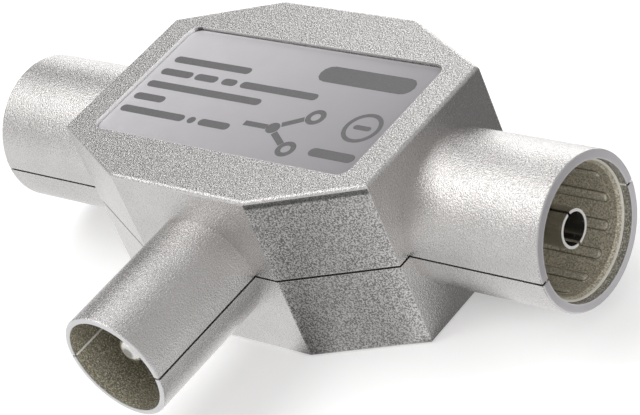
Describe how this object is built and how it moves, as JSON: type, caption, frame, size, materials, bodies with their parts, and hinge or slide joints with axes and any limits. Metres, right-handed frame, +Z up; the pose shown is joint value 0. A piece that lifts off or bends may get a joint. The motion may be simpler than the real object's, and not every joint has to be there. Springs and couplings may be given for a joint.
{
  "type": "coaxial splitter",
  "caption": "Inline coaxial splitter: octagonal die-cast housing in two halves, plug on the front face and sockets at both ends on one line, label plate on top.",
  "frame": {"origin": "on the flat base, directly under the point where the axes of the three ports cross", "axes": "+X along the sockets' common axis to the right socket, -Y along the plug, +Z up through the label plate"},
  "size_m": [0.0572, 0.0348, 0.0155],
  "materials": {
    "nickel_casting": "satin",
    "label": "satin",
    "sleeve_spring": "satin",
    "contact_plating": "gloss",
    "insulator": "satin",
    "board": "satin",
    "copper": "satin",
    "ferrite": "matte",
    "winding_wire": "gloss",
    "resistor": "gloss",
    "capacitor": "gloss",
    "solder": "gloss"
  },
  "bodies": {
    "root": {"upper_shell": "nickel_casting", "lower_shell": "nickel_casting", "label_plate": "label", "left_contact_sleeve": "sleeve_spring", "right_contact_sleeve": "sleeve_spring", "left_centre_contact": "contact_plating", "right_centre_contact": "contact_plating", "left_socket_insulator": "insulator", "right_socket_insulator": "insulator", "plug_pin": "contact_plating", "plug_insulator": "insulator", "circuit_board": "board", "board_tracks": "copper", "matching_core": "ferrite", "matching_winding": "winding_wire", "splitting_core": "ferrite", "left_splitting_winding": "winding_wire", "right_splitting_winding": "winding_wire", "isolation_resistor": "resistor", "input_capacitor": "capacitor", "solder_joints": "solder"}
  },
  "joints": []
}
